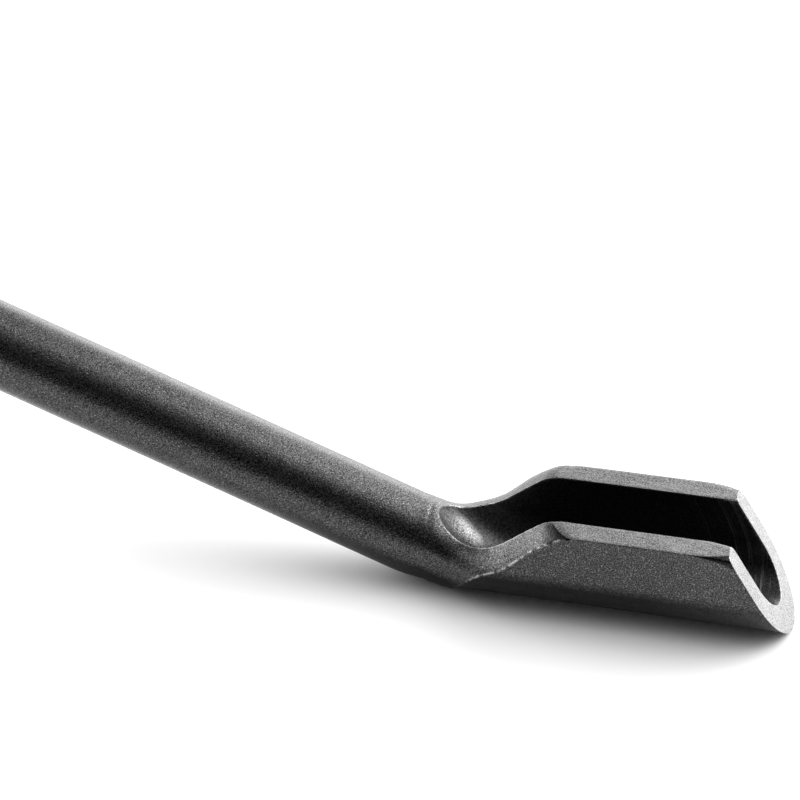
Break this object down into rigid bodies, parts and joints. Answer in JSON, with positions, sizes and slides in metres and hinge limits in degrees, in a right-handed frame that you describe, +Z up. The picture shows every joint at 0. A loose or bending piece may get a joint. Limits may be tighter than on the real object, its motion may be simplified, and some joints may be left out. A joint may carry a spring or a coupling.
{
  "type": "pry bar",
  "caption": "Round steel pry bar with a bent trough-shaped head, a gooseneck nail claw, and a ribbed rubber grip held by split clamp collars.",
  "frame": {"origin": "on the floor under the middle of the bar's box, as the bar lies on a bench", "axes": "+X along the head towards its ground lip, +Y to the bar's left across its plane of symmetry, +Z up"},
  "size_m": [0.39, 0.0348, 0.118],
  "materials": {
    "forged_steel": "shot-blasted forging with a dark phosphate coat, bare where the lands and lip are ground",
    "grip_rubber": "matt moulded rubber, ribbed",
    "collar_steel": "turned steel, black oxide",
    "screw_steel": "alloy steel, black oxide"
  },
  "bodies": {
    "root": {"forged_bar": "forged_steel", "grip_sleeve": "grip_rubber", "front_collar_upper": "collar_steel", "front_collar_lower": "collar_steel", "rear_collar_upper": "collar_steel", "rear_collar_lower": "collar_steel", "front_screw_left": "screw_steel", "front_screw_right": "screw_steel", "rear_screw_left": "screw_steel", "rear_screw_right": "screw_steel"}
  },
  "joints": []
}
